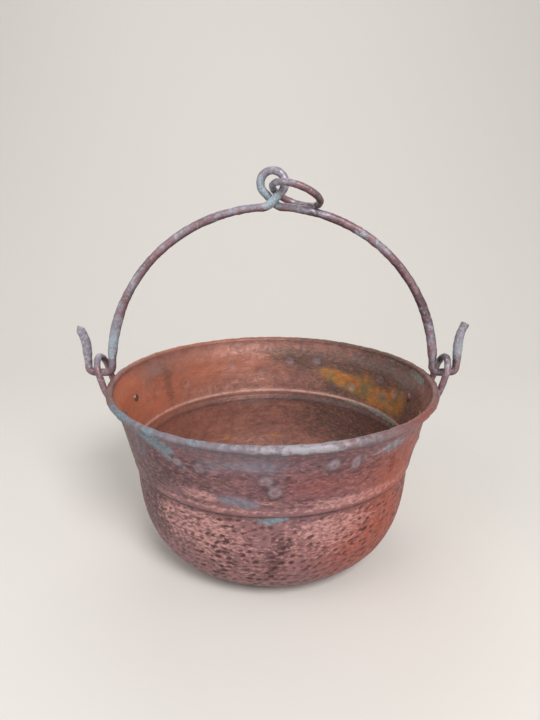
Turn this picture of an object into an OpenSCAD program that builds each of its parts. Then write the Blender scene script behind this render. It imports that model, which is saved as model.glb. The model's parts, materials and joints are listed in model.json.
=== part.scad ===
// Small hammered copper pan with a hanging bail. A raised copper bowl carries a rolled,
// wired rim. Two wire ears are riveted outside the rim, a wire bail hooks through them,
// and a ring hangs in the looped eye at the top of the bail.

/* [Pan] */
// Radius of the rim, at the centre of its rolled bead
rim_r = 60; // [56:0.5:70]
// Height of the centre of the rim bead above the table
rim_h = 65; // [61:0.5:80]
// Thickness of the copper sheet
sheet = 0.8; // [0.6:0.05:1.1]
// Diameter of the iron wire inside the rolled rim
rim_wire_d = 1.2; // [0.9:0.1:1.8]
// Radius of the flat of the base
base_r = 27.8; // [22:0.2:30]
// Radius of the rounded corner of the bowl, on the middle of the sheet
corner_r = 21.5; // [16:0.5:23]
// Angle that the rounded corner turns through before the belly takes over
corner_turn = 66; // [58:1:72]
// Radius of the bowl at its waist, on the middle of the sheet
waist_r = 51.5; // [50:0.1:54]
// Height of the waist
waist_h = 38; // [32:0.5:44]
// Width of the ledge by which the upper wall stands outside the bowl
ledge_w = 1.1; // [0.6:0.1:2]
// Radius of the groove under the ledge, on the middle of the sheet
groove_r = 1; // [0.7:0.1:2]
// Radius of the ridge over the ledge, on the middle of the sheet
ridge_r = 1.6; // [1.2:0.1:3]
// Depth below the rim at which the wall starts to flare
flare_drop = 7.5; // [6:0.5:9]
// Distance of the wall from the rim radius where the flare starts
flare_in = 3.5; // [2.5:0.1:5]

/* [Ears] */
// Diameter of the ear wire
ear_wire_d = 2.6; // [2:0.1:3]
// Distance between the two limbs of an ear, from middle to middle
ear_w = 12; // [11:0.5:14]
// Height of the ear above the bail's axis, to the middle of its wire
ear_h = 6.1; // [6:0.1:8]
// Angle by which the ears lean outwards
ear_lean = 15; // [8:1:20]
// Distance between the two rivets of an ear
rivet_span = 18; // [15:0.5:22]
// Depth of the rivets below the rim
rivet_drop = 10.4; // [10:0.2:13]
// Diameter of a rivet's shank
rivet_d = 2.2; // [1.6:0.1:2.6]
// Diameter of a rivet's outer head
rivet_head_d = 3.8; // [3.2:0.1:4.2]
// Height of a rivet's outer head
rivet_head_h = 1.1; // [0.6:0.1:1.6]
// Diameter of a rivet's flat head inside the pan
rivet_tail_d = 3.4; // [3:0.1:4]
// Height of a rivet's flat head inside the pan
rivet_tail_h = 0.6; // [0.3:0.1:1]
// Diameter of the flattened foot of an ear
foot_d = 5.2; // [4.6:0.1:6]
// Thickness of the flattened foot of an ear
foot_t = 1.2; // [0.8:0.1:1.6]

/* [Bail] */
// Diameter of the bail wire
bail_wire_d = 3; // [2.4:0.1:3.4]
// Distance between the bail's leg and its upturned hook, from middle to middle
hook_gap = 8.9; // [8.6:0.1:12]
// Radius of the two bends of a hook
hook_bend_r = 2.4; // [2:0.1:2.6]
// Height at which the hook starts to turn outwards, above the bail's axis
hook_straight = 10.8; // [7:0.2:16]
// Radius of the outward turn of the hook
hook_flare_r = 18; // [10:1:40]
// Angle of the outward turn of the hook
hook_flare_turn = 25; // [10:1:40]
// Diameter of the hole in the bail's eye
eye_hole_d = 5.4; // [5.2:0.1:7]
// Height of the eye's centre above the crown of the bail
eye_rise = 7.9; // [7.6:0.1:10]
// Slope of the two strands where they cross under the eye
neck_slope = 45; // [40:1:50]
// Radius of the bend from the crown into the neck
neck_bend_r = 4; // [3:0.5:5]
// Angle of the crown over which a strand moves aside for the crossing
crown_turn = 12; // [10:1:16]

/* [Ring] */
// Diameter of the ring, on the middle of its wire
ring_d = 17.4; // [17:0.2:22]
// Diameter of the ring's wire
ring_wire_d = 2.6; // [2:0.1:2.7]
// Height of the ring's wire above the bottom of the eye's hole
ring_lift = 0.75; // [0.7:0.05:0.9]
// Angle by which the ring lies rolled to one side
ring_roll = 20; // [0:1:20]

/* [Fits] */
// Play round the iron wire in the rolled rim
rim_wire_play = 0.04; // [0.02:0.01:0.1]
// Gap between pieces that are riveted face to face
seat_gap = 0.02; // [0.01:0.01:0.05]
// Play round a rivet's shank
rivet_play = 0.05; // [0.02:0.01:0.1]
// Gap between the rim bead and an ear
ear_gap = 0.1; // [0.05:0.05:0.5]
// Gap between loose pieces that rest on each other
rest_gap = 0.3; // [0.2:0.05:0.5]
// Gap between a swinging leg of the bail and the ear beside it
swing_gap = 0.35; // [0.3:0.05:0.6]
// Gap between the two strands where they cross under the eye
strand_gap = 0.2; // [0.1:0.05:0.5]

/* [Hidden] */
$fn = 64;

copper = [0.72, 0.43, 0.35];
wire_grey = [0.52, 0.46, 0.47];
iron = [0.35, 0.33, 0.33];
left = -1;
right = 1;
front = -1;
rear = 1;

function dir(a) = [cos(a), sin(a)];
function last(v) = v[len(v) - 1];
function unit(v) = v / norm(v);
// Points of an arc that leaves p along the angle a and turns by the angle turn, left positive
function arc(p, a, r, turn, step) =
    let (s = sign(turn), n = ceil(abs(turn) / step), c = p + s * r * dir(a + 90))
    [for (i = [1:n]) c - s * r * dir(a + 90 + turn * i / n)];
// Points of a curve that leaves p along the angle pa and arrives at q along the angle qa
blend_steps = 9;
blend_share = 0.36;
function blend(p, pa, q, qa) =
    let (k = blend_share * norm(q - p), b = p + k * dir(pa), c = q - k * dir(qa))
    [for (i = [1:blend_steps]) let (t = i / blend_steps, u = 1 - t)
        u * u * u * p + 3 * u * u * t * b + 3 * u * t * t * c + t * t * t * q];
// One side of a line of points, at the distance d to its left
function beside(pts, d) =
    [for (i = [0:len(pts) - 1])
        let (t = unit(pts[min(i + 1, len(pts) - 1)] - pts[max(i - 1, 0)]))
        pts[i] + d * [-t.y, t.x]];

// Rim: the sheet rolls round the wire and its edge closes against the wall
roll_r = rim_wire_d / 2 + rim_wire_play + sheet / 2;
bead_r = roll_r + sheet / 2;
roll_turn = 292;
roll_step = 13.5;

// Middle line of the sheet, from the centre of the base up to the edge of the roll
arc_step = 6;
waist_a = 88;
corner = arc([base_r, sheet / 2], 0, corner_r, corner_turn, arc_step);
belly = blend(last(corner), corner_turn, [waist_r, waist_h], waist_a);
step_turn = acos(1 - ledge_w / (groove_r + ridge_r));
groove = arc([waist_r, waist_h], 90, groove_r, -step_turn, arc_step);
ridge = arc(last(groove), 90 - step_turn, ridge_r, step_turn, arc_step);
flare_start = [rim_r - flare_in, rim_h - flare_drop];
wall_a = atan2(flare_start.y - last(ridge).y, flare_start.x - last(ridge).x);
flare = blend(flare_start, wall_a, [rim_r - roll_r, rim_h], 90);
roll = arc([rim_r - roll_r, rim_h], 90, roll_r, -roll_turn, roll_step);
base_flat_r = base_r - sheet / 2;
sheet_line = concat([[0, sheet / 2], [base_flat_r, sheet / 2], [base_r, sheet / 2]], corner,
                    belly, groove, ridge, [flare_start], flare, roll);

// Rivets: square to the sloping wall, on its middle line
rivet_h = rim_h - rivet_drop;
rivet_r = flare_start.x - (flare_start.y - rivet_h) / tan(wall_a);
rivet_turn = asin(rivet_span / 2 / rivet_r);
foot_base = sheet / 2 + seat_gap;
head_base = foot_base + foot_t + seat_gap;
tail_base = sheet / 2 + seat_gap + rivet_tail_d * rivet_tail_d / 8 / (rivet_r - sheet);
tail_face_d = 0.7 * rivet_tail_d;
dome_r = (pow(rivet_head_d / 2, 2) + pow(rivet_head_h, 2)) / (2 * rivet_head_h);
hole_d = rivet_d + 2 * rivet_play;
// A tongue as thick as the foot leads from each limb of an ear down to its foot
tongue_w = 0.6 * foot_d;
tongue_top = foot_d / 2 + 0.3;
tongue_root = 0.5;

// Bail: its axis lies where its bent legs rest on the rim bead between the ears' limbs
axis_h = rim_h + bead_r + bail_wire_d / 2 + rest_gap;
ear_foot_x = rim_r + bead_r + ear_gap + ear_wire_d / 2;
ear_x = ear_foot_x + (axis_h - rim_h) * tan(ear_lean);
bail_r = ear_x - (bail_wire_d / 2 + ear_wire_d / 2 + swing_gap) / cos(ear_lean);
hook_x = bail_r + hook_gap;
limb_l = (axis_h - rim_h) / cos(ear_lean) + bead_r;
elbow_a = asin(hook_bend_r / (bail_r + hook_bend_r));
elbow_x = (bail_r + hook_bend_r) * cos(elbow_a);
tip_l = 1;
tip_bevel = 0.15 * bail_wire_d;
// The bends are a hair thinner than the straights and run a little way into them
bend_d = 0.995 * bail_wire_d;
bend_lap = 0.15;

// Eye: a circle above the crown, and the crossing strands that touch it on either side
eye_r = (eye_hole_d + bail_wire_d) / 2;
eye_h = bail_r + eye_rise;
strand_y = (bail_wire_d + strand_gap) / 2;
neck_end = [0, eye_h] + eye_r * dir(neck_slope - 90);
neck_side = neck_end + neck_bend_r * dir(neck_slope + 90);
neck_along = neck_side * dir(neck_slope);
neck_l = neck_along - sqrt(pow(neck_along, 2) - neck_side * neck_side
                           + pow(bail_r + neck_bend_r, 2));
neck_c = neck_side - neck_l * dir(neck_slope);
neck_a = atan2(neck_c.y, neck_c.x);
strand_r = 0.985 * bail_wire_d / 2;
strand_sides = 16;
function ease(t) = t * t * (3 - 2 * t);
// Left strand of the neck, from the crown to the eye: x, sideways shift, height above the axis.
// It starts inside the end of the arm and is still centred on it where it comes out.
crown_lap = 0.5;
crown_end = 90 + crown_turn - crown_lap;
crown_steps = 9;
bend_steps = 5;
strand_steps = 4;
half_neck = concat(
    [bail_r * [cos(crown_end + 2 * crown_lap), 0, sin(crown_end + 2 * crown_lap)]],
    [for (i = [0:crown_steps]) let (t = i / crown_steps, a = crown_end + (neck_a - crown_end) * t)
        [bail_r * cos(a), -strand_y * ease(t), bail_r * sin(a)]],
    [for (i = [1:bend_steps]) let (t = i / bend_steps,
            a = neck_a + 180 + (neck_slope + 90 - neck_a) * t)
        [neck_c.x + neck_bend_r * cos(a), -strand_y, neck_c.y + neck_bend_r * sin(a)]],
    [for (i = [1:strand_steps])
        let (q = neck_end - (1 - i / (strand_steps + 0.5)) * neck_l * dir(neck_slope))
        [q.x, -strand_y, q.y]]);
eye_steps = 30;
eye_loop = [for (i = [0:eye_steps])
    let (t = i / eye_steps, a = neck_slope - 90 + t * (360 - 2 * neck_slope))
    [eye_r * cos(a), strand_y * (2 * ease(t) - 1), eye_h + eye_r * sin(a)]];
top_path = concat(half_neck, eye_loop,
    [for (i = [len(half_neck) - 1:-1:0]) [-half_neck[i].x, -half_neck[i].y, half_neck[i].z]]);

// Ring: it hangs low in the eye and lies on the bail's right arm
ring_pivot_h = eye_h - (eye_hole_d - ring_wire_d) / 2 + ring_lift;
ring_reach = bail_r + ((bail_wire_d + ring_wire_d) / 2 + rest_gap) / cos(ring_roll);
ring_drop = asin((ring_d * ring_d + ring_pivot_h * ring_pivot_h - ring_reach * ring_reach)
                 / (2 * ring_d * ring_pivot_h));

// Stands a shape on the wall at one rivet, its Z pointing straight out of the wall
module at_rivet(side, along) {
    rotate([0, 0, side == right ? along * rivet_turn : 180 - along * rivet_turn])
    translate([rivet_r, 0, rivet_h])
    rotate([0, 180 - wall_a, 0])
    children();
}

// Plane of one ear, with Y along the rim and Z up its lean, at the height of the bail's axis
module at_ear(side) {
    mirror([side == left ? 1 : 0, 0, 0])
    translate([ear_x, 0, axis_h])
    rotate([0, ear_lean, 0])
    children();
}

// Part of a ring of wire in the XZ plane, between two angles from +X towards +Z
module wire_arc(r, d, from, to) {
    rotate([90, -from, 0])
    rotate_extrude(angle = to - from, $fn = 96)
    translate([r, 0])
    circle(d = d, $fn = 32);
}

// Wire swept along a path of points in space
module wire_sweep(path, r, sides) {
    n = len(path);
    rings = [for (i = [0:n - 1])
        let (t = unit(path[min(i + 1, n - 1)] - path[max(i - 1, 0)]),
             u = unit([0, 1, 0] - t.y * t), v = cross(t, u))
        for (k = [0:sides - 1])
            let (a = 360 * k / sides) path[i] + r * (cos(a) * u + sin(a) * v)];
    walls = [for (i = [0:n - 2], k = [0:sides - 1])
        let (m = (k + 1) % sides, a = i * sides, b = a + sides)
        each [[a + k, b + m, a + m], [a + k, b + k, b + m]]];
    caps = [[for (k = [0:sides - 1]) k],
            [for (k = [sides - 1:-1:0]) (n - 1) * sides + k]];
    polyhedron(rings, concat(walls, caps));
}

module pan_bowl() {
    color(copper)
    difference() {
        rotate_extrude($fn = 180)
        polygon(concat(beside(sheet_line, -sheet / 2),
                       [for (i = [len(sheet_line) - 1:-1:0]) beside(sheet_line, sheet / 2)[i]]));
        for (side = [left, right], along = [front, rear])
            at_rivet(side, along)
            cylinder(h = 4 * sheet, d = hole_d, center = true, $fn = 32);
    }
}

module rim_wire() {
    color(iron)
    translate([0, 0, rim_h])
    rotate_extrude($fn = 180)
    translate([rim_r, 0])
    circle(d = rim_wire_d, $fn = 24);
}

// Flat tongue of the length l, which starts above a foot and runs down over the wall
module tongue(l) {
    translate([-tongue_top, -tongue_w / 2, foot_base])
    cube([l, tongue_w, foot_t]);
}

module ear(side) {
    color(wire_grey)
    difference() {
        union() {
            at_ear(side) {
                translate([0, 0, ear_h - ear_w / 2])
                rotate([0, 0, 90])
                wire_arc(ear_w / 2, ear_wire_d, 0, 180);
                for (along = [front, rear])
                    translate([0, along * ear_w / 2, -limb_l])
                    cylinder(h = limb_l + ear_h - ear_w / 2, d = ear_wire_d, $fn = 32);
            }
            for (along = [front, rear]) {
                hull() {
                    at_ear(side)
                    translate([0, along * ear_w / 2, -limb_l])
                    sphere(d = ear_wire_d, $fn = 20);
                    at_rivet(side, along)
                    tongue(tongue_root);
                }
                at_rivet(side, along) {
                    translate([0, 0, foot_base])
                    cylinder(h = foot_t, d = foot_d, $fn = 40);
                    tongue(foot_d / 2);
                }
            }
        }
        for (along = [front, rear])
            at_rivet(side, along)
            cylinder(h = 4 * foot_t, d = hole_d, $fn = 32);
    }
}

// Rivet with a domed head outside and a hammered flat head inside
module rivet(side, along) {
    shank_from = -tail_base - rivet_tail_h / 2;
    shank_to = head_base + rivet_head_h / 2;
    color(copper)
    at_rivet(side, along) {
        translate([0, 0, shank_from])
        cylinder(h = shank_to - shank_from, d = rivet_d, $fn = 32);
        translate([0, 0, head_base])
        intersection() {
            cylinder(h = rivet_head_h, d = rivet_head_d, $fn = 40);
            translate([0, 0, rivet_head_h - dome_r]) sphere(r = dome_r, $fn = 64);
        }
        translate([0, 0, -tail_base - rivet_tail_h])
        cylinder(h = rivet_tail_h, d1 = tail_face_d, d2 = rivet_tail_d, $fn = 40);
    }
}

// Bend of the bail wire, which runs into the straights at its two ends
module bail_bend(x, z, r, from, to) {
    lap = bend_lap / r * 180 / PI;
    translate([x, 0, z])
    wire_arc(r, bend_d, from - lap, to + lap);
}

// One arm of the bail, from the crown down to its leg, through the ear and up to the hook's tip
module bail_arm() {
    wire_arc(bail_r, bail_wire_d, elbow_a, 90 - crown_turn);
    bail_bend(elbow_x, hook_bend_r, hook_bend_r, 180 + elbow_a, 270);
    translate([elbow_x, 0, 0])
    rotate([0, 90, 0])
    cylinder(h = hook_x - hook_bend_r - elbow_x, d = bail_wire_d, $fn = 32);
    bail_bend(hook_x - hook_bend_r, hook_bend_r, hook_bend_r, 270, 360);
    translate([hook_x, 0, hook_bend_r])
    cylinder(h = hook_straight - hook_bend_r, d = bail_wire_d, $fn = 32);
    bail_bend(hook_x + hook_flare_r, hook_straight, hook_flare_r, 180 - hook_flare_turn, 180);
    translate([hook_x + hook_flare_r, 0, hook_straight])
    rotate([0, hook_flare_turn, 0])
    translate([-hook_flare_r, 0, 0])
    rotate_extrude($fn = 32)
    polygon([[0, 0], [bail_wire_d / 2, 0], [bail_wire_d / 2, tip_l - tip_bevel],
             [bail_wire_d / 2 - tip_bevel, tip_l], [0, tip_l]]);
}

module bail() {
    color(wire_grey)
    translate([0, 0, axis_h]) {
        bail_arm();
        mirror([1, 0, 0]) bail_arm();
        wire_sweep(top_path, strand_r, strand_sides);
    }
}

module hanging_ring() {
    color(wire_grey)
    translate([0, 0, axis_h + ring_pivot_h])
    rotate([0, ring_drop, 0])
    rotate([-ring_roll, 0, 0])
    translate([ring_d / 2, 0, 0])
    rotate_extrude($fn = 96)
    translate([ring_d / 2, 0])
    circle(d = ring_wire_d, $fn = 32);
}

pan_bowl();
rim_wire();
ear(left);  // left_ear
ear(right);  // right_ear
rivet(left, front);  // left_front_rivet
rivet(left, rear);  // left_rear_rivet
rivet(right, front);  // right_front_rivet
rivet(right, rear);  // right_rear_rivet
bail();
hanging_ring();
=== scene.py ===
# Small hammered copper pan with a hanging bail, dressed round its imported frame.
# Sizes in the dictionaries are millimetres and degrees; mm turns them into metres.
import json
import math
import bpy
import numpy as np
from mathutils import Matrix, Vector
from numpy.linalg import norm


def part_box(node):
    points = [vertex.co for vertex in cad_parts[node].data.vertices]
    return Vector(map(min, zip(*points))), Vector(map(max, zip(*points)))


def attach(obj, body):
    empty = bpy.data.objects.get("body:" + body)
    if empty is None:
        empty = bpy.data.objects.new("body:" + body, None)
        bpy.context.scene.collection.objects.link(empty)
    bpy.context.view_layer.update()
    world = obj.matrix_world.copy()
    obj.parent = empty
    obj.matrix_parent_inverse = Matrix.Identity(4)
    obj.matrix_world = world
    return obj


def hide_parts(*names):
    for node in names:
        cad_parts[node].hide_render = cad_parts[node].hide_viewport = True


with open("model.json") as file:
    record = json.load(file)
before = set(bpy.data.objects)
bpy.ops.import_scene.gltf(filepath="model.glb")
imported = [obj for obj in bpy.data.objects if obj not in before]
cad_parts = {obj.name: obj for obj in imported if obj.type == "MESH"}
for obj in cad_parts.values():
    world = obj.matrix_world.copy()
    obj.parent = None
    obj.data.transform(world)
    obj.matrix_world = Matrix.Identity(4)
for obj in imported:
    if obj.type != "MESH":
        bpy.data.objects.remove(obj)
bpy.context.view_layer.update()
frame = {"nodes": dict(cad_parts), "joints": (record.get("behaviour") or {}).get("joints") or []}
bpy.ops.object.select_all(action="DESELECT")
mm = 0.001
print("frame loaded:", ", ".join(sorted(frame["nodes"])))


# Helpers for colours and materials

def colour(text):
    # Linear colour from the usual sRGB hex text
    parts = [int(text[i:i + 2], 16) / 255 for i in (1, 3, 5)]
    return [p / 12.92 if p <= 0.04045 else ((p + 0.055) / 1.055) ** 2.4 for p in parts] + [1.0]


def plug(tree, node, inputs):
    # A socket is linked to the node's input; any other value is set there
    for key, value in inputs.items():
        if isinstance(value, bpy.types.NodeSocket):
            tree.links.new(value, node.inputs[key])
        else:
            node.inputs[key].default_value = value


def addNode(tree, kind, inputs=None, **settings):
    node = tree.nodes.new(kind)
    for key, value in settings.items():
        setattr(node, key, value)
    plug(tree, node, inputs or {})
    return node


def newFinish(name):
    finish = bpy.data.materials.new(name)
    finish.use_nodes = True
    tree = finish.node_tree
    return finish, tree, addNode(tree, "ShaderNodeTexCoord").outputs["Object"]


def speckle(tree, where, size, detail=4.0, roughness=0.55, distortion=0.0, stretch=None):
    # Noise whose features are about size millimetres wide
    if stretch:
        where = addNode(tree, "ShaderNodeMapping", {"Vector": where, "Scale": stretch}).outputs["Vector"]
    return addNode(tree, "ShaderNodeTexNoise", {
        "Vector": where, "Scale": 1 / (size * mm), "Detail": detail,
        "Roughness": roughness, "Distortion": distortion}).outputs["Fac"]


def step(tree, value, low, high, bottom=0.0, top=1.0):
    return addNode(tree, "ShaderNodeMapRange", {
        "Value": value, "From Min": low, "From Max": high, "To Min": bottom, "To Max": top},
        interpolation_type="SMOOTHSTEP").outputs["Result"]


def maths(tree, operation, a, b):
    return addNode(tree, "ShaderNodeMath", {0: a, 1: b}, operation=operation).outputs[0]


def times(tree, a, b):
    return maths(tree, "MULTIPLY", a, b)


def lessBy(tree, share, mask):
    # 1, less the given share of a mask
    return maths(tree, "SUBTRACT", 1.0, times(tree, mask, share))


def mixed(tree, amount, a, b):
    # From a to b as the amount goes from 0 to 1; each is a socket or a hex text
    a, b = (colour(tint) if isinstance(tint, str) else tint for tint in (a, b))
    return addNode(tree, "ShaderNodeMix", {0: amount, 6: a, 7: b}, data_type="RGBA").outputs[2]


def toned(tree, noise, low, high, tones):
    return mixed(tree, step(tree, noise, low, high), *tones)


def laid(tree, base, layers):
    # Lays tints over the base, one after another; each row is mask, strength, tint
    for mask, strength, tint in layers:
        base = mixed(tree, times(tree, mask, strength), base, tint)
    return base


def ragged(tree, mask, noise, spread=1.6, low=0.3, high=0.75, faintest=0.2):
    # A soft painted mask broken up by noise into a patch with a ragged edge
    pushed = maths(tree, "ADD", mask, times(tree, maths(tree, "SUBTRACT", noise, 0.5), spread))
    return step(tree, times(tree, pushed, step(tree, mask, 0.0, faintest)), low, high)


def intoShader(tree, base, rough, shine, height, strength, depth):
    # Feeds the shader; the height is fine relief of the given depth
    bump = addNode(tree, "ShaderNodeBump", {"Height": height, "Strength": strength, "Distance": depth * mm})
    plug(tree, tree.nodes["Principled BSDF"], {
        "Base Color": base, "Roughness": rough, "Metallic": shine, "Normal": bump.outputs["Normal"]})


def painted(tree, name):
    # The four channels of a painted attribute
    attribute = addNode(tree, "ShaderNodeAttribute", attribute_name=name)
    parts = addNode(tree, "ShaderNodeSeparateXYZ", {"Vector": attribute.outputs["Vector"]}).outputs
    return [*parts, attribute.outputs["Alpha"]]


def paint(obj, name, channels):
    # Stores up to four arrays, one number a vertex, as one attribute
    values = np.ones((len(obj.data.vertices), 4), dtype=np.float32)
    for i, channel in enumerate(channels):
        values[:, i] = np.clip(channel, 0, 1)
    layer = obj.data.color_attributes.new(name, "FLOAT_COLOR", "POINT")
    layer.data.foreach_set("color", values.ravel())


# Helpers for modelling

def editing(on):
    bpy.ops.object.mode_set(mode="EDIT" if on else "OBJECT")


def drawnLine(name, points):
    # One vertex pulled along from point to point
    points = [Vector(p) * mm for p in points]
    bpy.ops.mesh.primitive_plane_add(size=mm, location=points[0])
    line = bpy.context.active_object
    line.name = line.data.name = name
    bpy.ops.object.transform_apply()
    editing(True)
    bpy.ops.mesh.select_all(action="SELECT")
    bpy.ops.mesh.merge(type="CENTER")
    bpy.ops.mesh.select_all(action="SELECT")
    for a, b in zip(points, points[1:]):
        bpy.ops.mesh.extrude_vertices_move(TRANSFORM_OT_translate={"value": b - a})
    editing(False)
    for v, p in zip(line.data.vertices, points):
        v.co = p
    return line


def pickEdges(obj, chosen):
    # Leaves the mesh in edit mode with only the chosen edges selected
    editing(True)
    bpy.ops.mesh.select_mode(type="EDGE")
    bpy.ops.mesh.select_all(action="DESELECT")
    editing(False)
    obj.data.edges.foreach_set("select", chosen)
    editing(True)


def closeSkin(merge):
    # Joins the active mesh's doubled vertices and turns its faces outwards
    editing(True)
    bpy.ops.mesh.select_all(action="SELECT")
    bpy.ops.mesh.remove_doubles(threshold=merge * mm)
    bpy.ops.mesh.select_all(action="SELECT")
    bpy.ops.mesh.normals_make_consistent(inside=False)
    editing(False)


def places(obj):
    flat = np.empty(len(obj.data.vertices) * 3)
    obj.data.vertices.foreach_get("co", flat)
    return flat.reshape(-1, 3)


def setPlaces(obj, points):
    obj.data.vertices.foreach_set("co", np.ascontiguousarray(points).ravel())
    obj.data.update()


def finishPiece(obj, finish, body, node, crease=40):
    bpy.ops.object.select_all(action="DESELECT")
    obj.select_set(True)
    bpy.context.view_layer.objects.active = obj
    bpy.ops.object.shade_smooth_by_angle(angle=math.radians(crease))
    obj.data.materials.clear()
    obj.data.materials.append(finish)
    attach(obj, body)
    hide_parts(node)
    bpy.ops.object.select_all(action="DESELECT")
    print(obj.name, "done,", len(obj.data.polygons), "faces")


def heading(turn):
    return np.array([math.cos(math.radians(turn)), math.sin(math.radians(turn))])


def easeIn(value, low, high):
    t = np.clip((value - low) / (high - low), 0, 1)
    return t * t * (3 - 2 * t)


def band(value, at, wide):
    return np.exp(-((value - at) / (wide / 2)) ** 2)


def runAlong(line):
    # How far along a line each of its points lies
    return np.concatenate([[0], np.cumsum(norm(np.diff(line, axis=0), axis=1))])


def curveBetween(a, goingA, b, goingB, hold, count):
    # A smooth curve in count steps from a to b, which leaves along goingA and arrives along goingB
    reach = hold * norm(b - a)
    c, d = a + reach * goingA, b - reach * goingB
    t = np.arange(count + 1)[:, None] / count
    u = 1 - t
    return u ** 3 * a + 3 * u * u * t * c + 3 * u * t * t * d + t ** 3 * b


# Camera, lamps and floor

camera = {"place": (-0.9, -201.7, 134.8), "pitch": 17.02, "lens": 28.0, "sensor": 36.0, "nearest": 10}
lamps = {  # place, size and power of each soft lamp
    "keyLamp": {"place": (230, -560, 600), "size": 280, "watts": 5.6},
    "fillLamp": {"place": (-560, -360, 480), "size": 500, "watts": 1.6},
    "backLamp": {"place": (-60, 560, 620), "size": 500, "watts": 1.6},
}
lampAim = (0, 0, 60)
sky = {"Color": (1, 1, 1, 1), "Strength": 0.42}
floor = {"front": -900, "back": 620, "half": 2600, "rise": 1900, "bend": 420, "bendSteps": 24,
         "colour": "#d9d5cf", "roughness": 0.85}


def placeCamera():
    bpy.ops.object.camera_add(location=Vector(camera["place"]) * mm)
    seen = bpy.context.active_object
    seen.name = "photoCamera"
    seen.rotation_euler = (math.radians(90 - camera["pitch"]), 0, 0)
    seen.data.lens, seen.data.sensor_width = camera["lens"], camera["sensor"]
    seen.data.clip_start = camera["nearest"] * mm
    bpy.context.scene.camera = seen


def placeLamps():
    aim = Vector(lampAim) * mm
    for name, lamp in lamps.items():
        place = Vector(lamp["place"]) * mm
        bpy.ops.object.light_add(type="AREA", location=place)
        light = bpy.context.active_object
        light.name = name
        light.rotation_euler = (aim - place).to_track_quat("-Z", "Y").to_euler()
        light.data.size, light.data.energy = lamp["size"] * mm, lamp["watts"]
    world = bpy.data.worlds.new("studioAir")
    world.use_nodes = True
    plug(world.node_tree, world.node_tree.nodes["Background"], sky)
    bpy.context.scene.world = world


def pickBend(sheet):
    # The edge along the back of the floor, from which the paper rises
    near = [abs(v.co.y - floor["back"] * mm) < mm and abs(v.co.z) < mm for v in sheet.data.vertices]
    pickEdges(sheet, [all(near[i] for i in edge.vertices) for edge in sheet.data.edges])


def layFloor():
    # A plane whose back edge is pulled up and rounded, as a roll of backdrop paper hangs
    bpy.ops.mesh.primitive_plane_add(size=2)
    sheet = bpy.context.active_object
    sheet.name = "paperBackdrop"
    for v in sheet.data.vertices:
        v.co.x *= floor["half"] * mm
        v.co.y = (floor["back"] if v.co.y > 0 else floor["front"]) * mm
    pickBend(sheet)
    bpy.ops.mesh.extrude_region_move(TRANSFORM_OT_translate={"value": (0, 0, floor["rise"] * mm)})
    editing(False)
    pickBend(sheet)
    bpy.ops.mesh.bevel(offset=floor["bend"] * mm, segments=floor["bendSteps"])
    editing(False)
    bpy.ops.object.shade_smooth()
    paper = bpy.data.materials.new("palePaper")
    paper.use_nodes = True
    plug(paper.node_tree, paper.node_tree.nodes["Principled BSDF"],
         {"Base Color": colour(floor["colour"]), "Roughness": floor["roughness"]})
    sheet.data.materials.append(paper)


placeCamera()
placeLamps()
layFloor()
bpy.context.scene.view_settings.view_transform = "Standard"
print("studio ready")


# Pan: one sheet of copper, hammered, stepped at the waist and rolled at the rim

pan = {
    "rimR": 60, "rimH": 65, "sheet": 0.8, "rollR": 1.04, "rollTurn": 292,
    "baseR": 27.8, "cornerR": 21.5, "cornerTurn": 66, "waistR": 51.5, "waistH": 38, "waistTurn": 88,
    "ledge": 1.1, "grooveR": 1.0, "ridgeR": 1.6, "flareDrop": 7.5, "flareIn": 3.5, "hold": 0.36,
    "creaseH": 41.9, "creaseD": 0.2, "creaseW": 1.3, "rimLift": 0.15, "flatRound": (3.2, 6.5),
    "meridians": 540, "merge": 0.002,
}
outsidePitch = {"base": 1.5, "bowl": 0.72, "step": 0.3, "wall": 0.8, "flare": 0.7, "roll": 1.0}
insidePitch = {"base": 2.0, "bowl": 0.95, "step": 0.4, "wall": 0.9, "flare": 0.8, "roll": 0.42}
fineStep = 0.05  # spacing of the points from which the sheet's line is sampled


def bentOn(line, start, radius, turn):
    # Adds an arc that leaves the line's end along the angle start and turns left by turn
    side = 1 if turn > 0 else -1
    centre = line[-1] + side * radius * heading(start + 90)
    count = max(2, math.ceil(abs(math.radians(turn)) * radius / fineStep))
    for i in range(1, count + 1):
        line.append(centre - side * radius * heading(start + 90 + turn * i / count))


def blendedOn(line, start, goal, arrive):
    # Adds a curve that leaves the line's end along the angle start and reaches goal along arrive
    count = math.ceil(norm(goal - line[-1]) / fineStep)
    line.extend(curveBetween(line[-1], heading(start), goal, heading(arrive), pan["hold"], count)[1:])


def straightOn(line, goal):
    first = line[-1]
    count = math.ceil(norm(goal - first) / fineStep)
    line.extend(first + (goal - first) * i / count for i in range(1, count + 1))


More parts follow.
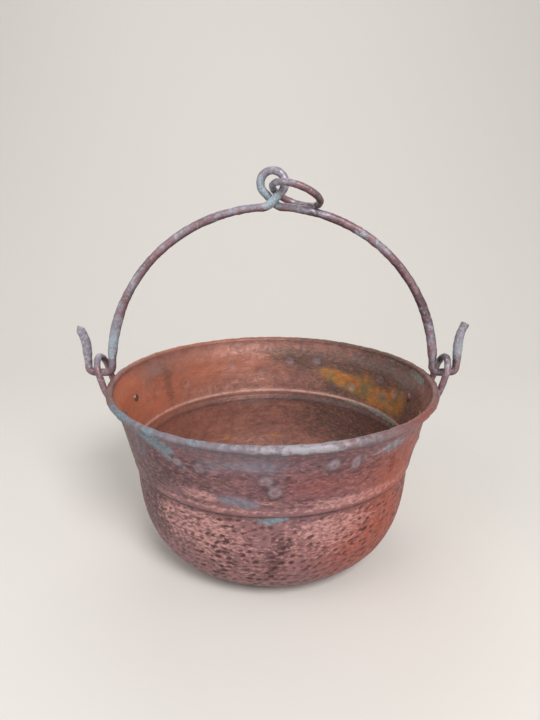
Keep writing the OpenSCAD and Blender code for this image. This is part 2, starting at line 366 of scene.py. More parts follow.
def sheetLine():
    # Middle of the sheet from the axis to the edge of the roll, and where each zone of it ends
    ends = {}
    line = [np.array([0.0, pan["sheet"] / 2])]
    straightOn(line, np.array([pan["baseR"], pan["sheet"] / 2]))
    ends["base"] = len(line) - 1
    bentOn(line, 0, pan["cornerR"], pan["cornerTurn"])
    blendedOn(line, pan["cornerTurn"], np.array([pan["waistR"], pan["waistH"]]), pan["waistTurn"])
    ends["bowl"] = len(line) - 1
    stepTurn = math.degrees(math.acos(1 - pan["ledge"] / (pan["grooveR"] + pan["ridgeR"])))
    bentOn(line, 90, pan["grooveR"], -stepTurn)
    bentOn(line, 90 - stepTurn, pan["ridgeR"], stepTurn)
    ends["step"] = len(line) - 1
    flareStart = np.array([pan["rimR"] - pan["flareIn"], pan["rimH"] - pan["flareDrop"]])
    rise = flareStart - line[-1]
    straightOn(line, flareStart)
    ends["wall"] = len(line) - 1
    rollStart = np.array([pan["rimR"] - pan["rollR"], pan["rimH"]])
    blendedOn(line, math.degrees(math.atan2(rise[1], rise[0])), rollStart, 90)
    ends["flare"] = len(line) - 1
    bentOn(line, 90, pan["rollR"], -pan["rollTurn"])
    ends["roll"] = len(line) - 1
    return np.array(line), ends


middle, zoneEnds = sheetLine()
runs = runAlong(middle)
tangent = np.gradient(middle, axis=0)
tangent /= norm(tangent, axis=1)[:, None]
outward = np.stack([tangent[:, 1], -tangent[:, 0]], axis=1)  # from the middle towards the outside
outward[:zoneEnds["base"] - 20] = (0, -1)
zoneRun = {zone: runs[end] for zone, end in zoneEnds.items()}


def stations(pitches):
    # Where along the sheet the rings of one side lie
    marks, low = [0.0], 0.0
    for zone, high in zoneRun.items():
        count = max(1, round((high - low) / pitches[zone]))
        marks.extend(low + (high - low) * i / count for i in range(1, count + 1))
        low = high
    return np.array(marks)


def along(run, table):
    return np.stack([np.interp(run, runs, table[:, i]) for i in (0, 1)], axis=1)


def spunPan():
    outer, inner = stations(outsidePitch), stations(insidePitch)[::-1]
    run = np.concatenate([outer, inner])
    side = np.concatenate([np.ones(len(outer)), -np.ones(len(inner))])
    section = along(run, middle) + side[:, None] * along(run, outward) * pan["sheet"] / 2
    section[[0, -1], 0] = 0
    obj = drawnLine("panBowl", [(r, 0, z) for r, z in section])
    turned = obj.modifiers.new("turned", "SCREW")
    turned.axis, turned.angle, turned.screw_offset = "Z", math.tau, 0
    turned.steps = turned.render_steps = pan["meridians"]
    turned.use_merge_vertices, turned.merge_threshold = True, pan["merge"] * mm
    bpy.ops.object.modifier_apply(modifier=turned.name)
    closeSkin(pan["merge"])
    return obj, section, run, side


def readSection(obj, section, run, side):
    # For each vertex: its angle, its run along the sheet and its side of it
    xyz = places(obj) / mm
    angle = np.arctan2(xyz[:, 1], xyz[:, 0]) % math.tau
    flat = np.stack([np.hypot(xyz[:, 0], xyz[:, 1]), xyz[:, 2]], axis=1)
    nearest = np.empty(len(flat), dtype=int)
    for i in range(0, len(flat), 4000):
        gap = flat[i:i + 4000, None, :] - section[None, :, :]
        nearest[i:i + 4000] = np.argmin((gap ** 2).sum(axis=2), axis=1)
    return angle, run[nearest], side[nearest]


def thinMeridians(obj, section, run, side):
    # Every second meridian goes where the sheet is plain: the base, the roll and the inside
    angle, runOf, sideOf = readSection(obj, section, run, side)
    meridian = np.round(angle / math.tau * pan["meridians"]).astype(int) % pan["meridians"]
    plain = (sideOf < 0) | (runOf < zoneRun["base"] + 0.01) | (runOf > zoneRun["flare"] - 0.01)
    radius = np.hypot(*(places(obj)[:, :2] / mm).T)
    ends = np.empty(len(obj.data.edges) * 2, dtype=int)
    obj.data.edges.foreach_get("vertices", ends)
    a, b = ends.reshape(-1, 2).T
    pole = np.minimum(radius[a], radius[b]) < 0.01
    outer = np.where(radius[a] > radius[b], a, b)
    together = (meridian[a] == meridian[b]) | pole
    chosen = together & plain[a] & plain[b] & (meridian[outer] % 2 == 1)
    pickEdges(obj, chosen)
    bpy.ops.mesh.dissolve_edges(use_verts=True, use_face_split=False)
    editing(False)


# Three sizes of hammer marks, each in its own rows round the pan
bowlMarks = {"seed": 11, "rowPitch": 2.25, "pitch": 3, "width": 3.5, "tall": 1.7, "jitter": 0.5,
             "slant": 10, "slantSpread": 28, "depth": 0.36}
wallMarks = {"seed": 23, "rowPitch": 2.3, "pitch": 4.4, "width": 4.8, "tall": 1.7, "jitter": 0.9,
             "slant": 6, "slantSpread": 22, "depth": 0.2}
broadMarks = {"seed": 37, "rowPitch": 6.5, "pitch": 7.5, "width": 8.5, "tall": 7.5, "jitter": 0.9,
              "slant": 0, "slantSpread": 90, "depth": 0.2}
# Marks that stand alone: angle, height, width, height of the mark, lift outwards
bumps = [
    (-112.9, 55.4, 3.4, 3.4, 0.6), (-92.1, 52.9, 3.6, 3.4, 0.45), (-89.4, 48.8, 4, 3.6, 0.5),
    (-71.7, 57.5, 3.8, 3.6, 0.6), (-63.7, 56.5, 2.6, 4.6, 0.4), (-46.7, 51, 2, 6, -0.75),
    (-121, 56, 3, 2.6, 0.3), (-60, 52.5, 4, 2.6, -0.3), (-104, 48.5, 4.6, 2.4, -0.3),
    (67.6, 56.7, 3.2, 3, 0.4), (81, 55.7, 3.2, 3, 0.4), (153.7, 51.3, 3.4, 3.4, 0.4),
    (135.8, 50.1, 3.6, 3.4, 0.4), (110, 54, 3.2, 3, 0.3), (20.8, 52.1, 3.6, 3.4, 0.4),
    (47.3, 48, 3.6, 3.4, 0.4), (-150, 52, 3.4, 3, 0.4), (-20, 50, 3.4, 3, 0.4), (32, 55, 3, 3, 0.3),
    (95, 50.5, 3.2, 3, 0.3),
]
ripples = [(2, 0.16, 0.7), (3, 0.1, 2.1), (5, 0.09, 4), (9, 0.06, 1)]  # waves a turn, height, phase
rimDents = [(31, 0.05, 0.4), (47, 0.05, 2.6), (83, 0.045, 5.1), (121, 0.03, 3.3)]
strikeSize, strikeDepth, strikeEdge = (0.7, 0.6), (0.35, 0.65), 1.3  # least and spread; sharpness
deepens = (16, 34)  # run in the bowl
broadInBowl, baseSofter, wallPits = 0.6, 0.4, 0.5
bossRing, bossHalo = (0.7, 0.7), (1.5, 1)  # middle, width: shares of its radius
patchR = 55  # radius at which the widths of marks and stains are measured
falloff = 1.2  # how fast a soft patch fades round its middle


def strikes(angle, run, marks):
    # Depth from 0 to 1 of rows of oval hammer marks
    dice = np.random.default_rng(marks["seed"])
    rows = int(runs[-1] / marks["rowPitch"]) + 4
    most = int(math.tau * (pan["rimR"] + 4) / marks["pitch"]) + 4
    luck, phase = dice.random((rows, most, 6)), dice.random(rows)
    depth = np.zeros(len(angle))
    rowAt = np.round(run / marks["rowPitch"]).astype(int)
    for rowStep in (-1, 0, 1):
        row = np.clip(rowAt + rowStep, 0, rows - 1)
        radius = np.interp(row * marks["rowPitch"], runs, middle[:, 0])
        count = np.maximum(6, np.round(math.tau * radius / marks["pitch"])).astype(int)
        place = angle / math.tau * count + phase[row]
        for columnStep in (-1, 0, 1):
            column = np.floor(place).astype(int) + columnStep
            roll = luck[row, column % count]
            off = place - column - 0.5 - marks["jitter"] * (roll[:, 0] - 0.5)
            across = off * math.tau * radius / count
            up = run - (row + marks["jitter"] * (roll[:, 1] - 0.5)) * marks["rowPitch"]
            turn = np.radians(marks["slant"] + (roll[:, 2] - 0.5) * 2 * marks["slantSpread"])
            u = across * np.cos(turn) + up * np.sin(turn)
            v = up * np.cos(turn) - across * np.sin(turn)
            halfWide = marks["width"] / 2 * (strikeSize[0] + strikeSize[1] * roll[:, 3])
            halfTall = marks["tall"] / 2 * (strikeSize[0] + strikeSize[1] * roll[:, 4])
            bowl = np.clip(1 - (u / halfWide) ** 2 - (v / halfTall) ** 2, 0, 1)
            depth = np.maximum(depth, bowl ** strikeEdge * (strikeDepth[0] + strikeDepth[1] * roll[:, 5]))
    return depth


def farFrom(angle, height, at, level, wide, tall):
    # Squared distance from the middle of an oval patch, with 1 at its edge
    gap = (angle - math.radians(at) + math.pi) % math.tau - math.pi
    return (gap * patchR / (wide / 2)) ** 2 + ((height - level) / (tall / 2)) ** 2


def spots(angle, height, table):
    # Sum of soft round patches; each row is angle, height, width, height of the patch, amount
    total = np.zeros(len(angle))
    for *patch, amount in table:
        total += amount * np.exp(-farFrom(angle, height, *patch) * falloff)
    return total


def bossRings(angle, height):
    # Pale ring on each raised mark, and the dark halo round it
    pale, halo = np.zeros(len(angle)), np.zeros(len(angle))
    for *patch, lift in bumps:
        if lift > 0:
            away = np.sqrt(farFrom(angle, height, *patch))
            pale = np.maximum(pale, band(away, *bossRing))
            halo = np.maximum(halo, band(away, *bossHalo))
    return pale, halo


def waves(angle, table):
    return sum(tall * np.sin(count * angle + phase) for count, tall, phase in table)


def nearRivets(angle, spot):
    # 1 at the rivets of the ears, fading to 0 round them
    here = np.stack([spot[:, 0] * np.cos(angle), spot[:, 0] * np.sin(angle), spot[:, 1]], axis=1)
    near = np.zeros(len(angle))
    for name in frame["nodes"]:
        if name.endswith("rivet"):
            low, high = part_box(name)
            away = norm(here - np.array((Vector(low) + Vector(high)) / 2 / mm), axis=1)
            near = np.maximum(near, 1 - easeIn(away, *pan["flatRound"]))
    return near


def hammerPan(obj, section, run, side):
    angle, runOf, sideOf = readSection(obj, section, run, side)
    spot, direction = along(runOf, middle), along(runOf, outward)
    inBowl = 1 - easeIn(runOf, zoneRun["bowl"] - 1.5, zoneRun["bowl"])
    onWall = easeIn(runOf, zoneRun["step"], zoneRun["step"] + 2) * (
        1 - easeIn(runOf, zoneRun["wall"] + 2, zoneRun["flare"]))
    onRoll = easeIn(runOf, zoneRun["flare"] - 2, zoneRun["flare"])
    fine, wall, broad = (strikes(angle, runOf, marks) for marks in (bowlMarks, wallMarks, broadMarks))
    lift = -bowlMarks["depth"] * fine * inBowl * (0.35 + 0.65 * easeIn(runOf, *deepens))
    lift -= wallMarks["depth"] * wall * onWall
    lift -= broadMarks["depth"] * broad * (broadInBowl * inBowl + onWall)
    lift += spots(angle, spot[:, 1], bumps) * onWall
    lift -= pan["creaseD"] * band(spot[:, 1], pan["creaseH"], pan["creaseW"])
    lift += waves(angle, ripples) * easeIn(runOf, 30, zoneRun["wall"]) * np.sin(angle) ** 2
    lift += (waves(angle, rimDents) + pan["rimLift"]) * onRoll
    lift *= 1 - nearRivets(angle, spot)
    # The base stays flat underneath: marks there only go inwards
    flatBase = 1 - easeIn(runOf, zoneRun["base"] - 1, zoneRun["base"] + 4)
    lift = np.where(flatBase > 0, np.minimum(lift, 0) * (1 - baseSofter * flatBase), lift)
    xyz, move = places(obj), lift * mm
    xyz[:, 0] += move * direction[:, 0] * np.cos(angle)
    xyz[:, 1] += move * direction[:, 0] * np.sin(angle)
    xyz[:, 2] += move * direction[:, 1]
    setPlaces(obj, xyz)
    pit = np.maximum(fine * inBowl, wallPits * wall * onWall)
    return angle, runOf, sideOf, spot, pit


# Stains: angle, height, width, height of the patch, amount
outsideStains = {
    "verdigris": [
        (-126.2, 59.6, 10, 5, 1.5), (-132, 61.5, 10, 4, 1.2), (-124.3, 55.9, 5, 3, 0.6),
        (-119, 54.4, 4, 3, 0.5), (-91.5, 36.9, 7.5, 3, 1), (-86, 38, 6, 2, 0.7), (-98, 37.8, 7, 1.8, 0.5),
        (-49.3, 58.4, 14, 4, 0.5), (-150, 64, 10, 6, 0.6), (60, 45, 12, 5, 0.7), (120, 58, 14, 5, 0.8),
        (150, 38, 10, 3, 0.9), (20, 57, 10, 5, 0.7), (180, 62, 16, 6, 0.6), (0, 62, 16, 6, 0.6),
        (-142, 65.5, 16, 3, 0.8), (-127, 65, 9, 3, 0.7), (-112, 66, 12, 2.4, 0.6),
    ],
    "ochre": [
        (-60, 56, 8, 4, 0.3), (-104, 51, 14, 4, 0.4), (-112, 50, 12, 4, 0.4), (80, 50, 14, 8, 0.5),
        (-92, 61.5, 26, 2.6, 0.45), (170, 52, 16, 8, 0.5),
    ],
    "film": [
        (-102.9, 44.7, 12, 5, 1.15), (-97.5, 43.4, 8, 3.2, 0.9), (-49.3, 58.4, 16, 5, 0.8),
        (-96, 58.5, 30, 7, 0.8), (-140, 55, 20, 18, 0.55), (-71.7, 57.5, 9, 8, 0.45), (-63, 57, 6, 8, 0.45),
        (-90, 51, 12, 10, 0.4), (-130, 65, 66, 7, 0.85), (-88, 65, 44, 6, 0.75), (-110, 56, 10, 8, 0.4),
        (-58, 65, 30, 5, 0.4), (60, 60, 60, 8, 0.7), (150, 56, 40, 14, 0.7), (10, 52, 30, 12, 0.5),
    ],
    # Dark patches: the purple stain and other tarnish, and painted shade down the left side and along the rim
    # behind
    "dark": [
        (-46.7, 51, 3.4, 7, 1.3), (-113, 55.5, 9, 8, 0.5), (-71.7, 56.5, 10, 8, 0.5),
        (-91.5, 51, 9, 10, 0.4), (-89, 20, 7, 15, 0.95), (-85.5, 28, 8, 9, 0.8), (-79, 32.5, 10, 4, 0.5),
        (-96, 14, 18, 9, 0.5), (-162, 30, 44, 60, 1.1), (-146, 52, 46, 22, 1.2), (-22, 28, 30, 40, 0.7),
        (-124, 33, 12, 8, 0.5), (-134, 24, 16, 12, 0.5), (-140, 31, 14, 16, 1.2), (-106, 17, 14, 6, 0.5),
        (-90, 49, 150, 12, 0.3), (90, 49, 160, 16, 0.4), (90, 66, 190, 5, 0.35), (32, 66, 80, 5, 0.8),
        (-58, 54, 26, 8, 0.5),
    ],
    # Bright rose strokes and worn patches; the thin rows at height 40.9 paint the ridge's highlight
    "rose": [
        (-114.4, 45.1, 20, 5.5, 1.2), (-92.2, 44.4, 16, 4, 0.9), (-72, 43.2, 22, 3.6, 1),
        (-53.7, 42.4, 24, 4.4, 1.3), (-34, 43, 18, 4, 0.9), (-112, 27, 36, 24, 1), (-68, 27, 50, 22, 0.9),
        (-114, 40.9, 44, 1.5, 1.1), (-60, 40.9, 66, 1.5, 1.1), (-122, 34, 30, 8, 0.9),
        (-136, 28, 24, 16, 0.7), (-68, 33, 34, 8, 0.9), (-100, 16, 30, 6, 0.6), (150, 43, 30, 4, 1),
        (100, 43, 30, 4, 1), (60, 43, 30, 4, 0.9), (10, 43, 30, 4, 0.9), (130, 25, 60, 26, 0.6),
        (40, 25, 60, 26, 0.6),
    ],
    # Rust-orange patches; low on the right they also paint the warm light that falls there
    "rustAndWarmLight": [
        (-40, 49, 36, 22, 0.85), (-38, 24, 44, 40, 1.1), (-60, 20, 30, 20, 0.4), (-75, 50, 30, 10, 0.3),
        (30, 20, 60, 40, 0.4), (-36, 65.5, 26, 5, 0.7), (125, 66, 80, 5, 0.3),
    ],
}
insideStains = {
    "verdigris": [
        (47.3, 48, 3, 2.4, 0.8), (67.6, 56.7, 2.8, 2.4, 0.6), (20.8, 52.1, 3.6, 3, 0.8),
        (7, 63.5, 16, 6, 0.9), (25, 64, 22, 3, 0.5), (24, 41.2, 26, 2.4, 1.3), (45, 41, 14, 1.8, 0.8),
    ],
    "ochre": [
        (53.9, 50.2, 16, 7, 1.2), (63, 52.5, 12, 5, 0.9), (47, 47.4, 10, 6, 1), (17.2, 49.9, 16, 16, 1),
        (36, 46.5, 18, 8, 0.8), (28, 47.5, 16, 10, 0.9), (40, 52, 14, 10, 0.7), (114, 20.5, 10, 4.5, 0.7),
        (88, 19.2, 10, 4.5, 0.7), (175, 52, 14, 16, 0.4), (118, 57, 30, 10, 0.3),
    ],
    "film": [
        (100, 36.5, 26, 5, 0.6), (50, 25, 60, 26, 0.3), (35, 60, 50, 9, 0.5), (12, 58, 26, 16, 0.45),
        (152, 60, 20, 9, 0.6), (160, 55, 8, 6, 0.4), (67.6, 56.7, 9, 7, 0.5), (55, 40, 60, 4, 0.4),
        (30, 48, 16, 8, 0.5),
    ],
    "dark": [
        (30, 52, 80, 44, 0.9), (20, 25, 80, 50, 0.7), (60, 30, 60, 30, 0.4), (95, 38.8, 130, 2.4, 0.5),
        (80, 56, 40, 12, 0.5), (146, 52, 9, 26, 0.75), (96, 60, 50, 5, 0.4), (126, 59, 34, 10, 0.3),
        (-60, 50, 90, 40, 0.5), (-110, 30, 80, 50, 0.4),
    ],
    # Bright rose patches; the one at 165 degrees also paints the warm light on the left inner wall
    "rose": [
        (95, 47, 40, 9, 0.75), (165, 52, 24, 20, 1), (128, 45, 34, 6, 0.8), (140, 52, 30, 10, 0.55),
        (90, 28, 70, 20, 0.35), (140, 28, 50, 30, 0.3),
    ],
    # Rust-orange patches; on the left inner wall they also paint the warm light that falls there
    "rustAndWarmLight": [
        (178, 55, 28, 24, 1.5), (154, 48, 30, 20, 0.9), (128, 54, 34, 18, 0.6), (100, 55, 30, 14, 0.3),
        (-150, 55, 60, 30, 1), (130, 30, 60, 30, 0.15),
    ],
}
# Pale rubbed lengths of the rim and pale specks on the wall, the first row also a painted highlight along the
# front top of the bead; and the place where the hammer marks are polished down
paleRimAndHighlight = [
    (-79, 65.5, 28, 5, 1), (-100, 66, 30, 3, 0.45), (-56, 62.5, 16, 5, 0.5), (-134, 65, 14, 4, 0.5),
    (-52, 58, 24, 6, 0.5), (-44, 60.5, 14, 4, 0.4), (-10, 66, 20, 4, 0.45), (-30, 66, 10, 2, 0.4),
]
polished = [(-66, 33, 24, 9, 1)]


def paintPan(obj, angle, runOf, sideOf, spot, pit):
    height = spot[:, 1]
    onRoll = easeIn(runOf, zoneRun["flare"] - 0.5, zoneRun["flare"] + 0.5)
    onWall = easeIn(height, pan["waistH"] + 2, pan["waistH"] + 7)
    facing = easeIn(-np.sin(angle), -0.35, 0.6)  # 1 at the front, 0 behind
    outside = sideOf > 0
    inside = (sideOf < 0) & (onRoll < 0.5)  # the roll shows the sheet's inner face on its outside
    stains = {kind: np.where(inside, spots(angle, height, insideStains[kind]),
                             spots(angle, height, outsideStains[kind])) for kind in outsideStains}
    # The inner edge of the rim is handled and stays clean
    overTop = easeIn(runOf, zoneRun["flare"], zoneRun["flare"] + 2.2)
    stains["verdigris"] *= np.where(onRoll > 0.5, overTop, 1)
    bead = onRoll * facing * (1 - 0.8 * stains["rustAndWarmLight"])
    lining = np.maximum(inside, onRoll * (1 - facing))
    pit = pit * (1 - 0.75 * spots(angle, height, polished) * outside) * (0.6 + 0.4 * facing)
    # Painted highlight: a thin bright line along the inner crease
    ledge = band(height, pan["creaseH"], 0.75) * inside * (height < pan["creaseH"] + 2)
    # Painted shade: darker in the outer groove at the waist, on the flare just under the roll, over the inner
    # crest at the waist and along the lower side of the roll
    paintedShade = 1.1 * band(runOf, zoneRun["bowl"] + 0.35, 1.9) * outside
    paintedShade += 0.8 * band(runOf, zoneRun["flare"] - 0.7, 1.6) * outside
    paintedShade += 0.8 * band(runOf, zoneRun["bowl"] + 0.4, 3.2) * inside
    paintedShade += 0.6 * (1 - easeIn(height, pan["rimH"] - 1.1, pan["rimH"] + 0.5)) * onRoll
    pale, halo = bossRings(angle, height)
    seen = onWall * np.where(outside, 0.95, 0.35 + 0.35 * (np.cos(angle) > 0))
    paint(obj, "stains", [stains["verdigris"], stains["ochre"], stains["film"], bead])
    paint(obj, "tones", [stains["dark"], stains["rose"], stains["rustAndWarmLight"], lining])
    # Pits, the painted highlight line of the inner crease, the painted shade, and where the outer wall is
    paint(obj, "relief", [pit, ledge, paintedShade, onWall * outside])
    paint(obj, "marks", [pale * seen, halo * seen, spots(angle, height, paleRimAndHighlight) * ~inside])


copperNoise = {  # size, detail, roughness, distortion, stretch
    "fine": (0.9, 5, 0.6), "grain": (2.2, 8, 0.65), "mottle": (6, 8, 0.65, 0.6), "cloud": (24, 6, 0.6),
    "streak": (2.6, 7, 0.62, 0.3, (1.0, 1.0, 3.2)), "dash": (1.6, 4, 0.6, 0.2, (1.0, 1.0, 1.9)),
    "stroke": (1.5, 6, 0.65, 0.3, (1.0, 1.0, 3.6)), "scratch": (1.5, 6, 0.65, 0.3, (1.0, 1.0, 0.4)),
}
copperTints = {
    # The two tones of a mottled layer
    "bare": ("#9d7272", "#7c595c"), "tarnish": ("#7a5964", "#4f3b42"), "lining": ("#a07063", "#7c5852"),
    "ochre": ("#de8d36", "#80794f"), "rubbed": ("#8c6c68", "#735a5b"), "haze": ("#6f717d", "#888792"),
    "crust": ("#5f717c", "#84969f"), "insideCrust": ("#66706a", "#8d968d"),
    # One tone outside and one inside
    "rustAndWarmLight": ("#a34f35", "#cc7554"), "shade": ("#51363a", "#4c453e"), "pads": ("#b5827f", "#a97362"),
    "bright": ("#dba69f", "#c99081"), "glow": ("#ae4a2b", "#c9775a"),
    # One tone
    "clouds": "#8a666b", "pits": "#4f2f30", "ochreStreaks": "#6d4f3a", "outsideOchre": "#7b5c46",
    # The ledge tint paints a bright highlight line, and the dark tint after it paints shade in the creases
    # and under the roll
    "insideHaze": "#7c6e6b", "halo": "#4d3b40", "ring": "#988d95", "ledge": "#e0b3a6", "creaseShade": "#422d2f",
    "paleAndHighlight": "#a9a6ac",
}


def copperFinish():
    finish, tree, where = newFinish("hammeredCopper")
    tint = copperTints
    fine, grain, mottle, cloud, streak, dash, stroke, scratch = (
        speckle(tree, where, *row) for row in copperNoise.values())
    verdigris, ochre, film, bead = painted(tree, "stains")
    dark, rose, rustAndWarmLight, inside = painted(tree, "tones")
    pit, ledge, paintedShade, wall = painted(tree, "relief")
    ring, halo, paleAndHighlight = painted(tree, "marks")[:3]
    # Patches with broken edges, and the tints that differ between the two sides of the sheet
    strokes = mixed(tree, inside, mixed(tree, wall, dash, stroke), scratch)
    bright = ragged(tree, rose, strokes, 2.8, 0.55, 1.4)
    inPit = ragged(tree, pit, dash, -0.9, 0.05, 0.65, 0.12)
    pitShade = times(tree, step(tree, cloud, 0.4, 0.6, 1.0, 0.65), lessBy(tree, 0.6, inside))
    earth = laid(tree, toned(tree, mottle, 0.36, 0.64, tint["ochre"]), [
        (step(tree, dash, 0.4, 0.7), 0.5, tint["ochreStreaks"])])
    veil = ragged(tree, film, streak, 1.5, 0.2, 0.85)
    haze = mixed(tree, inside, toned(tree, grain, 0.4, 0.6, tint["haze"]), tint["insideHaze"])
    green = ragged(tree, verdigris, grain, 2.0)
    crust = mixed(tree, inside, toned(tree, fine, 0.35, 0.65, tint["crust"]),
                  toned(tree, fine, 0.35, 0.65, tint["insideCrust"]))
    base = laid(tree, toned(tree, mottle, 0.35, 0.65, tint["bare"]), [
        # The sheet itself, its scratches and its hammer marks; its dark, orange and bright tones also hold
        # painted shade, warm light and highlights
        (step(tree, cloud, 0.42, 0.62), 0.6, tint["clouds"]),
        (wall, step(tree, grain, 0.35, 0.6, 0.9, 0.5), toned(tree, streak, 0.38, 0.62, tint["tarnish"])),
        (inside, 1.0, toned(tree, mottle, 0.35, 0.65, tint["lining"])),
        (rustAndWarmLight, step(tree, mottle, 0.3, 0.62, 0.35, 0.85), mixed(tree, inside, *tint["rustAndWarmLight"])),
        # Dark patches, partly stains and partly painted shade
        (ragged(tree, dark, streak, 1.4), 0.7, mixed(tree, inside, *tint["shade"])),
        (step(tree, dash, 0.48, 0.66), 0.5, mixed(tree, inside, *tint["pads"])),
        # Bright strokes, partly worn metal and partly painted highlight on the ridge and the left inner wall
        (bright, step(tree, wall, 0.0, 1.0, 0.66, 0.85), mixed(tree, inside, *tint["bright"])),
        # A deeper orange over the same patches, partly painted warm light
        (rustAndWarmLight, 0.42, mixed(tree, inside, *tint["glow"])),
        (inPit, pitShade, tint["pits"]),
        # What lies on it, with painted highlights and painted shade among it
        (ragged(tree, ochre, streak, 1.5, 0.2, 0.95), 0.75, mixed(tree, inside, tint["outsideOchre"], earth)),
        (bead, step(tree, streak, 0.3, 0.55, 0.5, 0.95), toned(tree, mottle, 0.4, 0.6, tint["rubbed"])),
        (veil, 0.68, haze),
        (halo, step(tree, grain, 0.3, 0.6, 0.55, 0.25), tint["halo"]),
        (ring, step(tree, grain, 0.36, 0.6, 0.3, 0.95), tint["ring"]),
        # Painted highlight: the thin bright line along the inner crease
        (ledge, step(tree, grain, 0.3, 0.6, 0.5, 1.0), tint["ledge"]),
        # Painted shade in the groove, under the roll and over the inner crest
        (paintedShade, step(tree, streak, 0.25, 0.6, 1.0, 0.55), tint["creaseShade"]),
        (green, 0.85, crust),
        # Pale rubbed patches, at the front top of the rim also a painted highlight
        (ragged(tree, paleAndHighlight, grain, 2.8, 0.4, 1.0), 0.62, tint["paleAndHighlight"]),
    ])
    dull = maths(tree, "MAXIMUM", veil, green)
    rough = maths(tree, "ADD", step(tree, grain, 0.3, 0.7, 0.42, 0.6), times(tree, dull, 0.2))
    shine = maths(tree, "SUBTRACT", step(tree, mottle, 0.3, 0.7, 0.6, 0.4), times(tree, dull, 0.3))
    shine = times(tree, shine, lessBy(tree, 0.4, inside))
    height = maths(tree, "ADD", times(tree, dash, 0.7), times(tree, fine, 0.3))
    intoShader(tree, base, rough, shine, height, 0.6, 0.35)
    return finish


def makePan():
    obj, section, run, side = spunPan()
    thinMeridians(obj, section, run, side)
    paintPan(obj, *hammerPan(obj, section, run, side))
    finishPiece(obj, copperFinish(), "pan", "pan_bowl", 50)


makePan()


# Wires: the bail, the hanging ring and the two ears are bent from round wire

bail = {
    "wire": 3.0, "hookGap": 8.9, "bendR": 2.4, "hookStraight": 10.8, "flareR": 18, "flareTurn": 25,
    "tip": 0.8, "tipRound": 0.5, "eyeHole": 5.4, "eyeRise": 7.9, "slope": 45, "neckBendR": 4,
    "crownTurn": 12, "strandGap": 0.2, "spacing": 0.4, "bevel": 9,
    "leftHook": 0.88,  # the left hook's height as a share of the right one's
    "axisH": frame["joints"][0]["pos_m"][2] / mm,
}
ear = {
    "wire": 2.6, "width": 12, "above": 6.1, "lean": 15, "gap": 0.1, "swingGap": 0.35, "spacing": 0.35,
    "bevel": 8, "footD": 5.2, "footT": 1.2, "tongueW": 3.1, "neck": 5.0, "limb": 4.79, "seatGap": 0.02,
    "rivetDrop": 10.4, "rivetSpan": 18, "hold": 0.36,
    "widenAt": 0.3, "thickenAt": 0.4,  # shares of the foot's width above the rivet
}
ring = {
    "across": 17.4, "wire": 2.6, "drop": 20.4, "roll": 20, "steps": 112, "bevelSteps": 22,
    "pivotH": frame["joints"][1]["pos_m"][2] / mm,
}
# The wires' small dents, which fade out over the plain length at a tip
wireSkin = {"merge": 0.01, "dentSize": 2.0, "dentDepth": 0.36, "dentLevel": 0.7, "plainTip": (0.8, 4)}
beadR = pan["rollR"] + pan["sheet"] / 2
earLean = math.radians(ear["lean"])
earX = pan["rimR"] + beadR + ear["gap"] + ear["wire"] / 2 + (bail["axisH"] - pan["rimH"]) * math.tan(earLean)
bail["radius"] = earX - ((bail["wire"] + ear["wire"]) / 2 + ear["swingGap"]) / math.cos(earLean)


def evenly(line, spacing, tip=()):
    # The same line with its points spread evenly, and more of them at its two tips
    line = np.array(line)
    run = runAlong(line)
    marks = np.linspace(0, run[-1], max(2, round(run[-1] / spacing)) + 1)
    marks = np.unique(np.concatenate([tip, marks, run[-1] - np.array(tip)]))
    return np.stack([np.interp(marks, run, line[:, i]) for i in range(line.shape[1])], axis=1), marks


def drawnWire(name, points, wide, bevel, slim=None):
    # A round wire along the points; slim gives its thickness at each of them
    obj = drawnLine(name, points)
    bpy.ops.object.convert(target="CURVE")
    obj = bpy.context.active_object
    obj.data.dimensions = "3D"
    obj.data.bevel_depth, obj.data.bevel_resolution = wide / 2 * mm, bevel
    obj.data.use_fill_caps = True
    if slim is not None:
        for point, share in zip(obj.data.splines[0].points, slim):
            point.radius = share
    bpy.ops.object.convert(target="MESH")
    obj = bpy.context.active_object
    closeSkin(wireSkin["merge"])
    return obj


def dented(obj, ends=()):
    # Small dents all over a wire, fading out at the given ends of it
    clouds = bpy.data.textures.new(obj.name + "Dents", "CLOUDS")
    clouds.noise_scale, clouds.noise_depth = wireSkin["dentSize"] * mm, 2
    dents = obj.modifiers.new("dents", "DISPLACE")
    dents.texture, dents.texture_coords = clouds, "LOCAL"
    dents.strength, dents.mid_level = wireSkin["dentDepth"] * mm, wireSkin["dentLevel"]
    if ends:
        away = np.min([norm(places(obj) / mm - end, axis=1) for end in ends], axis=0)
        body = obj.vertex_groups.new(name="body")
        for i, share in enumerate(easeIn(away, *wireSkin["plainTip"])):
            body.add([i], float(share), "REPLACE")
        dents.vertex_group = body.name
    bpy.ops.object.modifier_apply(modifier=dents.name)
    obj.vertex_groups.clear()


def blobs(obj, table):
    # Sum of soft balls; each row is x, y, z of the middle, width, amount
    xyz = places(obj) / mm
    total = np.zeros(len(xyz))
    for *centre, wide, amount in table:
        far = norm(xyz - centre, axis=1) / (wide / 2)
        total += amount * np.exp(-far ** 2 * falloff)
    return total


